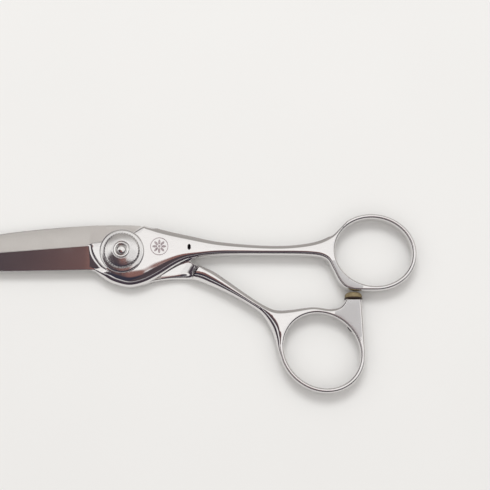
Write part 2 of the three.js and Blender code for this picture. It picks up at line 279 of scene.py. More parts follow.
def circle(radius, count=120, roll=0.06):
    """Points round the pivot's line."""
    turns = np.arange(count) * 2 * math.pi / count
    return [np.array((radius * math.cos(t), radius * math.sin(t), roll)) for t in turns]


def nearest(points, loops):
    """Distance to the closest outline, and the roll width there."""
    best = np.full(len(points), 1e9)
    width = np.zeros(len(points))
    for loop in loops:
        loop = np.array(loop)
        ahead = np.roll(loop, -1, axis=0)
        for a, b in zip(loop, ahead):
            run = (b - a)[:2]
            t = np.clip(((points - a[:2]) @ run) / max(run @ run, 1e-12), 0, 1)
            gap = np.hypot(*(points - a[:2] - t[:, None] * run).T)
            closer = gap < best
            best = np.where(closer, gap, best)
            width = np.where(closer, a[2] + t * (b[2] - a[2]), width)
    return best, width


def inside(points, loops):
    """Which points lie in the steel, inside the outline and outside the holes."""
    crossings = np.zeros(len(points), int)
    x, y = points.T
    for loop in loops:
        loop = np.array(loop)
        for a, b in zip(loop, np.roll(loop, -1, axis=0)):
            if a[1] == b[1]:
                continue
            spans = (a[1] > y) != (b[1] > y)
            crossings += spans & (x < a[0] + (y - a[1]) * (b[0] - a[0]) / (b[1] - a[1]))
    return crossings % 2 == 1


def ramp(value, low, high):
    """From 0 at low to 1 at high, with soft ends."""
    t = np.clip((value - low) / (high - low), 0, 1)
    return t * t * (3 - 2 * t)


def rounded(gap, width):
    """The height of a quarter-round edge, from 0 at the outline to 1 where it meets the flat."""
    return np.sqrt(np.clip(1 - (1 - np.clip(gap / width, 0, 1)) ** 2, 0, 1))


def faces_far(points, outline):
    """From 0 to 1, how much the nearest run of an anticlockwise outline faces +Y."""
    loop = np.array(outline)[:, :2]
    run = np.roll(loop, -1, axis=0) - loop
    outward = -run[:, 0] / np.linalg.norm(run, axis=1)
    middle = loop + run / 2
    closest = [int(np.argmin(np.hypot(*(middle - p).T))) for p in points]
    return ramp(outward[closest], 0.5, 0.85)


def rolled_plate(loops, top, bottom, under_roll, extra=(), grid=1.1, eased=(0.0, 0.0)):
    """Vertices and faces (mm) of a plate whose edges are rolled over, wide or narrow, along its outline.

    The first loop is the outline, anticlockwise, and the rest are holes. top and bottom give heights
    at points; under_roll gives how much of the roll the underside has, from 0 to 1. Between the two
    x values of eased, the edge that faces +Y is eased to a shallow slope instead of a full roll.
    """
    rims, free = [], []
    for number, loop in enumerate(loops):
        loop = np.array(loop)
        rims.append(loop)
        tangent = np.roll(loop, -1, axis=0)[:, :2] - np.roll(loop, 1, axis=0)[:, :2]
        tangent /= np.linalg.norm(tangent, axis=1)[:, None]
        inward = np.stack([-tangent[:, 1], tangent[:, 0]], axis=1) * (1 if number == 0 else -1)
        for row in range(1, ROLL_ROWS + 1):
            depth = loop[:, 2] * (1 - math.cos(row * math.pi / 2 / ROLL_ROWS))
            moved = loop[:, :2] + inward * depth[:, None]
            gap, _ = nearest(moved, loops)
            free.append(moved[gap > 0.97 * depth])
    low, high = rims[0][:, :2].min(axis=0), rims[0][:, :2].max(axis=0)
    lattice = np.array([(x, y) for x in np.arange(low[0], high[0], grid)
                        for y in np.arange(low[1], high[1], grid)])
    gap, width = nearest(lattice, loops)
    free.append(lattice[inside(lattice, loops) & (gap > width + 0.4 * grid)])
    for group in extra:
        group = np.array(group)[:, :2]
        gap, _ = nearest(group, loops)
        free.append(group[inside(group, loops) & (gap > 0.05)])
    rim_points = np.vstack([rim[:, :2] for rim in rims])
    edges, start = [], 0
    for rim in rims:
        edges += [(start + i, start + (i + 1) % len(rim)) for i in range(len(rim))]
        start += len(rim)
    points = np.vstack([rim_points] + free)
    result = delaunay_2d_cdt([Vector(p) for p in points], edges, [], 0, 1e-5)
    flat = np.array([tuple(v) for v in result[0]])
    faces = np.array([tuple(f) for f in result[2]])
    faces = faces[inside(flat[faces].mean(axis=1), loops)]

    gap, width = nearest(flat, loops)
    rise = rounded(gap, width)
    x, y = flat.T
    high, low = top(x, y), bottom(x, y)
    under = under_roll(x, y)
    lift = np.minimum(EXTRA_FALL + width, 0.45 * (high - low)) * under + SHARP_DROP * (1 - under)
    under_rise = rise * under + rounded(gap, SHARP_EDGE) * (1 - under)
    fall = np.minimum(EXTRA_FALL + width, 0.94 * (high - low))
    fall = np.minimum(fall, (high - low) - lift - 0.04)
    ease = ramp(x, eased[0], eased[0] + EASED_RUN_IN) * (1 - ramp(x, eased[1] - EASED_RUN_IN, eased[1]))
    ease *= faces_far(flat, loops[0]) * (nearest(flat, loops[:1])[0] <= gap + 1e-9)
    slope = EASED_SLOPE * width * (1 - np.clip(gap / width, 0, 1)) ** 1.5
    high = high - fall * (1 - rise) * (1 - ease) - slope * ease
    low = low + lift * (1 - under_rise)

    count = len(flat)
    vertices = [(*p, z) for p, z in zip(flat, high)] + [(*p, z) for p, z in zip(flat, low)]
    skin = [tuple(f) for f in faces] + [tuple(f[::-1] + count) for f in faces]
    sides = {(int(a), int(b)): None for f in faces for a, b in zip(f, np.roll(f, -1))}
    columns = {}

    def wall_column(i):
        if i not in columns:
            first = len(vertices)
            vertices.extend((*flat[i], high[i] + (low[i] - high[i]) * row / WALL_ROWS)
                            for row in range(1, WALL_ROWS))
            columns[i] = [i, *range(first, first + WALL_ROWS - 1), i + count]
        return columns[i]

    for a, b in sides:
        if (b, a) in sides:
            continue
        one, two = wall_column(a), wall_column(b)
        for row in range(WALL_ROWS):
            skin.append((two[row], one[row], one[row + 1], two[row + 1]))
    return vertices, skin


def blade_loft(edge_line, spine, inner, outward, chamfer=None):
    """Vertices and faces of a blade, lofted through its cross-sections from the tip to the heel.

    edge_line gives the cutting edge's y at a share of the blade's length, spine is the back's line
    of points, inner is the inner face's height, and outward is the side that the outer face looks
    to, 1 up or -1 down. chamfer gives the width of the spine's inner chamfer at x.
    """
    stations = []
    for x in np.linspace(BLADE_TIP, BLADE_HEEL, BLADE_STATIONS):
        share = (x - BLADE_TIP) / (BLADE_FULL - BLADE_TIP)
        edge_y = edge_line(share)
        spine_y = float(np.interp(x, spine[:, 0], spine[:, 1]))
        width = abs(spine_y - edge_y)
        back = math.copysign(1, spine_y - edge_y)
        crown = TIP_CROWN + (HEEL_CROWN - TIP_CROWN) * min(share, 1.0)
        bevel = min(BEVEL, 0.45 * width)
        drop = BLADE_FALL * (width - bevel)
        section = [(x, edge_y, inner), (x, edge_y, inner + outward * EDGE_LAND),
                   (x, edge_y + back * bevel, inner + outward * crown)]
        for k in range(1, ACROSS_BLADE + 1):
            y = edge_y + back * (bevel + (width - bevel - SPINE_ROUND[0]) * k / ACROSS_BLADE)
            section.append((x, y, inner + outward * (crown - drop * (k / ACROSS_BLADE) ** 1.15)))
        section.append((x, spine_y, inner + outward * (crown - drop - SPINE_ROUND[1])))
        if chamfer:
            cut = chamfer(x)
            section.append((x, spine_y, inner + outward * 0.4 * cut))
            section.append((x, spine_y - back * min(cut, 0.4 * width), inner))
        else:
            section.append((x, spine_y, inner))
        stations.append(section)
    vertices = [p for section in stations for p in section]
    n = len(stations[0])
    faces = []
    for s in range(len(stations) - 1):
        for i in range(n):
            j = (i + 1) % n
            faces.append((s * n + i, s * n + j, (s + 1) * n + j, (s + 1) * n + i))
    faces.append(tuple(range(n - 1, -1, -1)))
    last = (len(stations) - 1) * n
    faces.append(tuple(last + i for i in range(n)))
    return vertices, faces


def build(name, parts, materials, crisp=32):
    """An object from (vertices in mm, faces, material number) parts."""
    vertices, faces, slots = [], [], []
    for part_vertices, part_faces, slot in parts:
        start = len(vertices)
        vertices += [(x * MM, y * MM, z * MM) for x, y, z in part_vertices]
        faces += [tuple(int(i) + start for i in f) for f in part_faces]
        slots += [slot] * len(part_faces)
    mesh = bpy.data.meshes.new(name)
    mesh.from_pydata(vertices, [], faces)
    mesh.polygons.foreach_set("material_index", slots)
    mesh.polygons.foreach_set("use_smooth", [True] * len(faces))
    for material in materials:
        mesh.materials.append(material)
    work = bmesh.new()
    work.from_mesh(mesh)
    bmesh.ops.remove_doubles(work, verts=work.verts, dist=1e-8)
    used = {v for f in work.faces for v in f.verts}
    bmesh.ops.delete(work, geom=[v for v in work.verts if v not in used], context="VERTS")
    bmesh.ops.recalc_face_normals(work, faces=work.faces)
    work.to_mesh(mesh)
    work.free()
    mesh.set_sharp_from_angle(angle=math.radians(crisp))
    piece = bpy.data.objects.new(name, mesh)
    bpy.context.collection.objects.link(piece)
    return piece


def wheel_finish(name, colour, rough_low, rough_high, scratch, stretch=(40, 900, 900), haze=160.0):
    """Steel from the polishing wheel: fine drawn lines, faint haze and handling marks."""
    material = bpy.data.materials.new(name)
    material.use_nodes = True
    nodes, links = material.node_tree.nodes, material.node_tree.links
    bsdf = nodes["Principled BSDF"]
    bsdf.inputs["Metallic"].default_value = 1.0
    where = nodes.new("ShaderNodeTexCoord")
    drawn = nodes.new("ShaderNodeMapping")
    drawn.inputs["Scale"].default_value = stretch
    links.new(where.outputs["Object"], drawn.inputs["Vector"])
    lines = nodes.new("ShaderNodeTexNoise")
    lines.inputs["Scale"].default_value = 12.0
    lines.inputs["Detail"].default_value = 5.0
    links.new(drawn.outputs["Vector"], lines.inputs["Vector"])
    marks = nodes.new("ShaderNodeTexNoise")
    marks.inputs["Scale"].default_value = haze
    marks.inputs["Detail"].default_value = 4.0
    links.new(where.outputs["Object"], marks.inputs["Vector"])
    rough = nodes.new("ShaderNodeMapRange")
    rough.inputs["From Min"].default_value = 0.3
    rough.inputs["From Max"].default_value = 0.75
    rough.inputs["To Min"].default_value = rough_low
    rough.inputs["To Max"].default_value = rough_high
    links.new(marks.outputs["Fac"], rough.inputs["Value"])
    links.new(rough.outputs["Result"], bsdf.inputs["Roughness"])
    tint = nodes.new("ShaderNodeValToRGB")
    tint.color_ramp.elements[0].position = 0.3
    tint.color_ramp.elements[1].position = 0.7
    tint.color_ramp.elements[0].color = (*[c * 0.94 for c in colour], 1)
    tint.color_ramp.elements[1].color = (*colour, 1)
    links.new(lines.outputs["Fac"], tint.inputs["Fac"])
    links.new(tint.outputs["Color"], bsdf.inputs["Base Color"])
    bump = nodes.new("ShaderNodeBump")
    bump.inputs["Strength"].default_value = scratch
    bump.inputs["Distance"].default_value = 0.00002
    links.new(lines.outputs["Fac"], bump.inputs["Height"])
    links.new(bump.outputs["Normal"], bsdf.inputs["Normal"])
    return material


PARTING_GAP = (3.3, 3.5)
HANDLE_LOW, HANDLE_HIGH = 0.62, 6.18
FINGER_RING = {"x": 78.4, "y": -0.1, "a": 12.0, "b": 10.6, "tilt": -0.18, "band": 1.585}
SEAT_RADIUS, SEAT_FLOOR, HUB_TOP = 5.5, 5.2, 6.3
RECESS_RADIUS, RECESS_DEPTH = 5.75, 0.25
STEP_RUN = 0.04
BUSH_HOLE = 3.25
PEEP = (20.9, 1.35)
PEEP_HALF = (0.52, 0.95)
PEEP_DEPTH = 1.4

SATIN_END_X = 12.0
SHOULDER_X = -11.0
COVE_TOP_X, COVE_BEND = -9.3, 0.074
COVE_DEPTH = 0.77
BLADE_FALL = 0.085
RING_ROLL = 0.68
MIRROR, DRAWN, HOLLOW, HONED, HOLE_SHADE, BRUSHED = range(6)

mirror_steel = wheel_finish("mirror_steel", (0.80, 0.785, 0.78), 0.035, 0.10, 0.05)
steels = [
    mirror_steel,
    wheel_finish("blade_outer_steel", (0.76, 0.745, 0.74), 0.06, 0.11, 0.08, (60, 2400, 900)),
    wheel_finish("hollow_ground_steel", (0.72, 0.695, 0.665), 0.34, 0.42, 0.35, (2600, 50, 900)),
    wheel_finish("honed_edge_steel", (0.85, 0.845, 0.84), 0.10, 0.16, 0.10, (60, 2400, 900)),
    # near black: painted shade that stands in for the darkness inside the peep pit and the screw hole's mouth
    wheel_finish("painted_hole_shade", (0.035, 0.030, 0.035), 0.45, 0.6, 0.2),
    wheel_finish("brushed_flat_steel", (0.60, 0.595, 0.60), 0.26, 0.31, 0.20, (900, 90, 900)),
]


def brush_flat(piece, x_span, y_span):
    """Gives the flat top faces in a region the brushed finish."""
    for face in piece.data.polygons:
        x, y, _ = face.center / MM
        if face.normal.z > 0.996 and x_span[0] < x < x_span[1] and y_span[0] < y < y_span[1]:
            face.material_index = BRUSHED


def finish_blade(piece, hub_x, inner, outward):
    """Ahead of the hub, a drawn outer face and a honed edge; the inner face is hollow ground."""
    for face in piece.data.polygons:
        x, _, z = face.center / MM
        facing = face.normal.z * outward
        if facing < -0.9 and abs(z - inner) < 0.06 and x < SATIN_END_X:
            face.material_index = HOLLOW
        elif x <= hub_x and facing > 0.985:
            face.material_index = DRAWN
        elif x <= hub_x and facing > 0.2:
            honed = abs(face.normal.y) > 0.3 and abs(face.normal.x) < 0.5
            face.material_index = HONED if honed else DRAWN


def engrave_rosette(material, centre, radius, petals):
    """A shallow, bead-blasted rosette of petals inside a fine ring, cut into a polished flat."""
    tree = material.node_tree
    nodes, links = tree.nodes, tree.links
    bsdf = nodes["Principled BSDF"]
    where = nodes.new("ShaderNodeTexCoord")
    axes = nodes.new("ShaderNodeSeparateXYZ")
    links.new(where.outputs["Object"], axes.inputs[0])
    x, y = [calc(tree, "DIVIDE", calc(tree, "SUBTRACT", axes.outputs[i], centre[i] * MM), radius * MM)
            for i in (0, 1)]
    reach = length_of(tree, x, y)
    turn = calc(tree, "MULTIPLY", calc(tree, "ARCTAN2", y, x), petals / 2)
    lobe = calc(tree, "POWER", calc(tree, "ABSOLUTE", calc(tree, "COSINE", turn)), 0.7)
    in_lobe = calc(tree, "SUBTRACT", calc(tree, "MULTIPLY", lobe, PETAL_REACH), reach)
    petal = calc(tree, "MULTIPLY", soft_step(tree, in_lobe, 0.0, 0.05), soft_step(tree, reach, 0.20, 0.26))
    from_vein = calc(tree, "ABSOLUTE", calc(tree, "SINE", turn))
    vein = calc(tree, "SUBTRACT", 1.0, soft_step(tree, from_vein, 0.10, 0.03))
    petal = calc(tree, "MULTIPLY", petal, vein)
    heart = soft_step(tree, reach, 0.15, 0.11)
    outer = calc(tree, "MULTIPLY", soft_step(tree, reach, 0.85, 0.88), soft_step(tree, reach, 0.95, 0.92))
    cut = calc(tree, "MAXIMUM", calc(tree, "MAXIMUM", petal, heart), outer)
    mask = calc(tree, "MULTIPLY", cut, soft_step(tree, axes.outputs["Z"], 6.1 * MM, 6.25 * MM))
    grain = nodes.new("ShaderNodeTexNoise")
    grain.inputs["Scale"].default_value = 7000.0
    links.new(where.outputs["Object"], grain.inputs["Vector"])
    cuts = (("Roughness", 0.42, "FLOAT", (2, 3, 0)),
            ("Base Color", (0.60, 0.52, 0.54, 1), "RGBA", (6, 7, 2)))
    for name, blasted, kind, (plain, carved, result) in cuts:
        socket = bsdf.inputs[name]
        source = socket.links[0].from_socket
        mix = nodes.new("ShaderNodeMix")
        mix.data_type = kind
        links.new(mask, mix.inputs["Factor"])
        links.new(source, mix.inputs[plain])
        mix.inputs[carved].default_value = blasted
        links.new(mix.outputs[result], socket)
    old = bsdf.inputs["Normal"].links[0].from_node
    bump = nodes.new("ShaderNodeBump")
    bump.inputs["Strength"].default_value = 0.6
    bump.inputs["Distance"].default_value = 0.00003
    bump.invert = True
    blast = calc(tree, "ADD", 0.6, calc(tree, "MULTIPLY", grain.outputs["Fac"], 0.8))
    links.new(calc(tree, "MULTIPLY", mask, blast), bump.inputs["Height"])
    links.new(old.outputs["Normal"], bump.inputs["Normal"])
    links.new(bump.outputs["Normal"], bsdf.inputs["Normal"])


ROSETTE, ROSETTE_RADIUS, PETALS, PETAL_REACH = (11.6, 1.5), 3.0, 8, 0.74
engrave_rosette(mirror_steel, ROSETTE, ROSETTE_RADIUS, PETALS)

arc_start = ring_angle(FINGER_RING, 79.0, -12.3)
arc_end = ring_angle(FINGER_RING, 69.6, 9.6)
finger_arc = ring_arc(FINGER_RING, FINGER_RING["band"], arc_start, arc_end, RING_ROLL)
finger_outline = spline([(SHOULDER_X, 2.2, 0.15), (SHOULDER_X, -1.5, 0.15), (SHOULDER_X, -5.3, 0.15)])
finger_outline += spline([(SHOULDER_X, -5.3, 0.15), (-10.2, -5.6, 0.5), (-8.6, -6.1, 1.6),
                          (-5.5, -8.3, 3.4), (-2.3, -9.9, 4.1), (2.3, -10.9, 4.5), (7.0, -9.9, 4.5),
                          (11.7, -7.5, 4.4), (18.0, -3.8, 2.8), (24.2, -1.8, 1.6), (30.5, -1.0, 1.3),
                          (43.0, -0.9, 1.15), (58.0, -1.1, 1.2), (63.3, -2.2, 1.1), (65.4, -5.2, 0.8),
                          (67.2, -8.8, 0.75), (69.0, -11.0, 0.7), (71.2, -12.0, 0.7), (74.0, -12.3, 0.7),
                          tuple(finger_arc[0])])
finger_outline += finger_arc
finger_outline += spline([tuple(finger_arc[-1]), (67.6, 7.3, 0.8), (64.8, 4.9, 1.1), (60.0, 3.0, 1.2),
                          (52.3, 1.9, 1.15), (43.0, 1.9, 1.15), (30.5, 3.0, 1.3), (21.1, 4.9, 1.5),
                          (13.3, 6.7, 1.6), (7.6, 8.35, 1.6)])[1:]
finger_outline += spline([(7.6, 8.35, 1.6), (6.6, 8.5, 1.4), (5.6, 7.9, 1.2), (2.7, 6.2, 1.1),
                          (-2.3, 4.9, 1.1), (-7.0, 3.4, 0.9), (-9.6, 2.7, 0.4), (SHOULDER_X, 2.2, 0.15)])
finger_loops = [finger_outline, ring_arc(FINGER_RING, 0, 0, 2 * math.pi, RING_ROLL), circle(BUSH_HOLE)]


def cove_edge(y):
    """Where the concave shoulder behind the blade reaches the hub's flat top."""
    return COVE_TOP_X + COVE_BEND * (2.3 - y) ** 2


def finger_top(x, y):
    """The top face: flat hub and shank, the seat under the dial, the shoulder's cove and the eye."""
    reach = np.hypot(x, y)
    height = HUB_TOP + (HANDLE_HIGH - HUB_TOP) * ramp(reach, 20, 32)
    height = np.where(reach < SEAT_RADIUS - STEP_RUN / 2, SEAT_FLOOR, height)
    along_cove = np.clip((x - SHOULDER_X) / (cove_edge(y) - SHOULDER_X), 0, 1)
    cove_depth = (COVE_DEPTH + BLADE_FALL * np.clip(1.75 - y, 0, 8)) * ramp(y, -7.2, -5.0)
    height = height - np.where(y < 3.2, cove_depth * np.sqrt(1 - along_cove ** 2), 0)
    peep = np.hypot((x - PEEP[0]) / PEEP_HALF[0], (y - PEEP[1]) / PEEP_HALF[1])
    return height - PEEP_DEPTH * (1 - ramp(peep, 0.80, 1.0))


def finger_bottom(x, y):
    """The underside: the parting face at the hub, the recess for the washer, and the deep shank."""
    reach = np.hypot(x, y)
    height = PARTING_GAP[1] + (HANDLE_LOW - PARTING_GAP[1]) * ramp(reach, 22.6, 31)
    return np.where(reach < RECESS_RADIUS - STEP_RUN / 2, PARTING_GAP[1] + RECESS_DEPTH, height)


COVE_SHARES = np.array([0.12, 0.25, 0.4, 0.55, 0.68, 0.79, 0.87, 0.93, 0.97, 0.99, 1.0, 1.02])
peep_rings = [[(PEEP[0] + PEEP_HALF[0] * share * math.cos(t), PEEP[1] + PEEP_HALF[1] * share * math.sin(t))
               for t in np.arange(36) * 2 * math.pi / 36]
              for share in (0.4, 0.8, 0.86, 0.92, 0.97, 1.0, 1.2, 1.6)]
cove_rows = [(SHOULDER_X + share * (cove_edge(y) - SHOULDER_X), y)
             for y in np.arange(-7.5, 3.0, 0.3) for share in COVE_SHARES]


def step_rings(*radii):
    """Pairs of circles that keep the round steps in a face upright."""
    return [circle(radius - inset) for radius in radii for inset in (0, STEP_RUN)]


finger_plate = rolled_plate(
    finger_loops, finger_top, finger_bottom, lambda x, y: ramp(np.hypot(x, y), 23, 31),
    extra=step_rings(SEAT_RADIUS, RECESS_RADIUS) + peep_rings + [cove_rows], eased=(8.0, 67.0),
)

BLADE_TIP, BLADE_HEEL, BLADE_FULL = -72.5, -7.9, -10.8
BLADE_STATIONS, ACROSS_BLADE = 66, 6
TIP_CROWN, HEEL_CROWN, BEVEL = 0.75, 2.05, 0.55
EDGE_LAND, SPINE_ROUND = 0.10, (0.12, 0.14)
FLUSH = 0.002
finger_spine = np.array(spline([(-72.5, -2.65, 0), (-66, -4.1, 0), (-55, -5.3, 0), (-38.3, -6.0, 0),
                                (-25, -5.9, 0), (-7.9, -5.6, 0)], 0.8) + [(-7.9, -5.6, 0)])
finger_blade = blade_loft(lambda share: -2.3 + 4.6 * share, finger_spine, PARTING_GAP[1] + FLUSH, 1)
finger_half = build("finger_half_forging", [(*finger_plate, MIRROR), (*finger_blade, MIRROR)], steels)
brush_flat(finger_half, (65.0, 75.0), (-11.6, -3.0))
finish_blade(finger_half, SHOULDER_X, PARTING_GAP[1], 1)
for face in finger_half.data.polygons:
    x, y, z = face.center / MM
    if face.index >= len(finger_plate[1]) and x > SHOULDER_X and face.normal.z > 0.985:
        face.material_index = DRAWN
    # The peep pit's walls and floor are painted near black: painted shade inside the pit.
    from_peep = math.hypot((x - PEEP[0]) / PEEP_HALF[0], (y - PEEP[1]) / PEEP_HALF[1])
    if from_peep < 0.97 and z > HUB_TOP - PEEP_DEPTH - 0.5:
        face.material_index = HOLE_SHADE
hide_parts("finger_half")
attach(finger_half, "finger_body")

# The thumb half: the under forging, with the lower blade, the cranked shank, the thumb ring and
# the square post for the bumper. Its inner face is hollow ground to a satin, the rest is mirror.
THUMB_RING = {"x": 62.0, "y": -30.9, "a": 12.3, "b": 10.9, "tilt": -0.7, "band": 1.585}
HEAD_POCKET, POCKET_TOP = 4.75, 1.05
HUB_BACK = 0.5
THUMB_HUB_X = -9.2
SPINE_CHAMFER = 0.36
SQUARE_HALF = 2.25
RIDGE = (24.4, -4.5)
RIDGE_FACING = (0.847, -0.532)
SCOOP_LENGTH = 4.6
SCOOP_SHARES = np.array([0.10, 0.25, 0.40, 0.55, 0.68, 0.79, 0.87, 0.93, 0.97, 0.99, 1.0, 1.02])
MOUTH_ANGLE, MOUTH_Z = 1.38, 3.4
MOUTH_HALF, MOUTH_POINTS = (1.15, 0.85), 32

thumb_arc = ring_arc(THUMB_RING, THUMB_RING["band"], ring_angle(THUMB_RING, 49.0, -34.5),
                     ring_angle(THUMB_RING, 75.2, -34.0), RING_ROLL)
thumb_outline = spline([(-10.8, 0.3, 0.08), (-10.9, -1.0, 0.1), (-10.6, -2.2, 0.2), (-8.6, -5.6, 0.25),
                        (-5.5, -8.25, 0.25), (-2.3, -9.85, 0.25), (2.3, -10.85, 0.25), (7.0, -9.9, 0.3),
                        (10.2, -8.9, 0.5), (16.4, -8.2, 1.0), (22.7, -8.6, 2.4), (27.3, -10.3, 2.3),
                        (33.4, -13.1, 1.5), (39.6, -16.6, 1.15), (43.4, -19.45, 1.7), (46.0, -23.3, 2.4),
                        (47.4, -26.8, 1.9), (48.35, -30.5, 0.9), tuple(thumb_arc[0])])
thumb_outline += thumb_arc
thumb_outline += spline([tuple(thumb_arc[-1]), (75.3, -31.0, 0.7), (75.2, -27.0, 0.95), (74.9, -20.0, 1.0),
                         (74.5, -14.9, 0.9)])[1:]
thumb_outline += spline([(74.5, -14.9, 0.45), (69.6, -14.9, 0.45)])
thumb_outline += spline([(69.6, -14.9, 0.45), (69.0, -16.0, 0.7), (67.4, -17.5, 0.9), (64.5, -18.15, 0.9),
                         (59.2, -17.6, 0.8), (52.3, -18.4, 1.1), (47.7, -18.45, 1.2), (43.7, -16.75, 1.1),
                         (38.5, -13.35, 1.05), (32.2, -8.85, 1.2), (28.9, -6.6, 1.2), (24.5, -4.3, 1.0),
                         (20.0, -1.7, 0.4), (15.0, 2.2, 0.3), (10.0, 6.2, 0.3), (6.6, 8.2, 0.3),
                         (4.4, 8.85, 0.2), (-3.0, 8.9, 0.08), (-10.2, 8.8, 0.05)])
thumb_outline += spline([(-10.2, 8.8, 0.02), (-10.8, 0.3, 0.02)])
square = [np.array((SQUARE_HALF * x, SQUARE_HALF * y, 0.06)) for x, y in ((1, -1), (1, 1), (-1, 1), (-1, -1))]
thumb_loops = [thumb_outline, ring_arc(THUMB_RING, 0, 0, 2 * math.pi, RING_ROLL), square]


def from_ridge(x, y):
    """Distance past the ridge where the shank rises out of the scoop, towards the rings."""
    return (x - RIDGE[0]) * RIDGE_FACING[0] + (y - RIDGE[1]) * RIDGE_FACING[1]


def thumb_top(x, y):
    """The top face: the parting face, the recess for the washer, and the scoop up to the shank."""
    reach = np.hypot(x, y)
    scoop = np.clip(1 + from_ridge(x, y) / SCOOP_LENGTH, 0, 1)
    height = PARTING_GAP[0] + (HANDLE_HIGH - PARTING_GAP[0]) * (1 - np.sqrt(1 - scoop ** 2))
    return np.where(reach < RECESS_RADIUS - STEP_RUN / 2, PARTING_GAP[0] - RECESS_DEPTH, height)


def thumb_bottom(x, y):
    """The underside, with the pocket for the stud's head."""
    reach = np.hypot(x, y)
    height = HUB_BACK + (HANDLE_LOW - HUB_BACK) * ramp(reach, 20, 30)
    return np.where(reach < HEAD_POCKET - STEP_RUN / 2, POCKET_TOP, height)


scoop_points = [(RIDGE[0] + RIDGE_FACING[0] * back + RIDGE_FACING[1] * side,
                 RIDGE[1] + RIDGE_FACING[1] * back - RIDGE_FACING[0] * side)
                for back in SCOOP_LENGTH * (SCOOP_SHARES - 1) for side in np.arange(-2.5, 8.0, 0.3)]
thumb_plate = rolled_plate(
    thumb_loops, thumb_top, thumb_bottom, lambda x, y: ramp(np.hypot(x, y), 14, 24),
    extra=step_rings(RECESS_RADIUS, HEAD_POCKET) + [scoop_points], eased=(25.0, 68.0),
)
thumb_spine = np.array(spline([(-72.5, -2.25, 0), (-60, 1.4, 0), (-45, 4.9, 0), (-32, 6.9, 0),
                               (-19.5, 8.1, 0), (-7.9, 8.85, 0)], 0.8) + [(-7.9, 8.85, 0)])
thumb_blade = blade_loft(lambda share: -2.5 + 2.8 * min(share, 1.0), thumb_spine, PARTING_GAP[0] - FLUSH, -1,
                         lambda x: 0.02 + SPINE_CHAMFER * float(ramp(-x, 12, 24)))

# A small oval plug on the thumb ring's inner wall, painted near black: painted shade standing in for the
# bumper screw's hole.
tilt_c, tilt_s = math.cos(THUMB_RING["tilt"]), math.sin(THUMB_RING["tilt"])
mouth_u, mouth_v = THUMB_RING["a"] * math.cos(MOUTH_ANGLE), THUMB_RING["b"] * math.sin(MOUTH_ANGLE)
mouth_x = THUMB_RING["x"] + mouth_u * tilt_c - mouth_v * tilt_s
mouth_y = THUMB_RING["y"] + mouth_u * tilt_s + mouth_v * tilt_c
facing_u, facing_v = math.cos(MOUTH_ANGLE) / THUMB_RING["a"], math.sin(MOUTH_ANGLE) / THUMB_RING["b"]
facing = math.atan2(facing_u * tilt_s + facing_v * tilt_c, facing_u * tilt_c - facing_v * tilt_s)
mouth = []
for sunk in (-0.04, 0.5):
    for turn in np.arange(MOUTH_POINTS) * 2 * math.pi / MOUTH_POINTS:
        along, height = MOUTH_HALF[0] * math.cos(turn), MOUTH_HALF[1] * math.sin(turn)
        mouth.append((mouth_x + sunk * math.cos(facing) - along * math.sin(facing),
                      mouth_y + sunk * math.sin(facing) + along * math.cos(facing), MOUTH_Z + height))
mouth_faces = [tuple(range(MOUTH_POINTS)), tuple(range(2 * MOUTH_POINTS - 1, MOUTH_POINTS - 1, -1))]
for i in range(MOUTH_POINTS):
    j = (i + 1) % MOUTH_POINTS
    mouth_faces.append((i, j, j + MOUTH_POINTS, i + MOUTH_POINTS))
thumb_half = build("thumb_half_forging",
                   [(*thumb_plate, MIRROR), (*thumb_blade, MIRROR), (mouth, mouth_faces, HOLE_SHADE)], steels)
finish_blade(thumb_half, THUMB_HUB_X, PARTING_GAP[0], -1)
brush_flat(thumb_half, (66.0, 73.9), (-29.0, -15.3))
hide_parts("thumb_half")
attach(thumb_half, "thumb_body")

# The tension dial: a turned steel cap with a smooth skirt, and a ring of small thumb beads
# round its domed crown. It screws down on the stud and is polished like the halves.
BEADS, BEAD_CUT = 40, 0.28
BEAD_LOW, BEAD_HIGH = 7.4, 8.3


def lathe(profile, steps, ripple=None):
    """A closed turned piece (mm) from a closed profile of (radius, height)."""
    n = len(profile)
    vertices, faces = [], []
    for s in range(steps):
        angle = 2 * math.pi * s / steps
        for r, z in profile:
            reach = r + (ripple(angle, r, z) if ripple else 0)
            vertices.append((reach * math.cos(angle), reach * math.sin(angle), z))
    for s in range(steps):
        t = (s + 1) % steps
        for i in range(n):
            j = (i + 1) % n
            faces.append((s * n + i, t * n + i, t * n + j, s * n + j))
    return vertices, faces


def curve(points, count=5):
    """A smooth profile through (r, z) points, end point included."""
    return [tuple(p) for p in spline(points, count=count)] + [points[-1]]


dial_profile = (
    [(2.15, 7.4), (5.5, 7.4), (5.5, 6.5), (6.7, 6.46)]
    + curve([(6.7, 6.46), (6.88, 6.58), (6.88, 6.9), (6.74, 7.08)], 4)
    + curve([(6.74, 7.08), (6.4, 7.2), (5.95, 7.29), (5.66, 7.33)], 4)
    + curve([(5.66, 7.33), (5.6, 7.6), (5.55, 7.95), (5.40, 8.16), (5.15, 8.26)], 5)
    + curve([(5.15, 8.26), (4.3, 8.5), (3.4, 8.72), (2.75, 8.84)], 5)
    + [(2.6, 8.78), (2.6, 8.5), (2.15, 8.5)]
)


def bead_ripple(angle, r, z):
    """How far the crown's side is cut in between the beads."""
    if not (5.1 < r < 5.65 and BEAD_LOW < z < BEAD_HIGH):
        return 0.0
    depth = math.sin(math.pi * (z - BEAD_LOW) / (BEAD_HIGH - BEAD_LOW))
    return -BEAD_CUT * depth * abs(math.sin(angle * BEADS / 2)) ** 0.7


dial_steel = wheel_finish("dial_steel", (0.76, 0.75, 0.745), 0.07, 0.26, 0.30, (300, 300, 300), 2600.0)
dial = build("tension_dial_cap", [(*lathe(dial_profile, 240, bead_ripple), 0)], [dial_steel], 40)
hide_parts("tension_dial")
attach(dial, "dial_body")

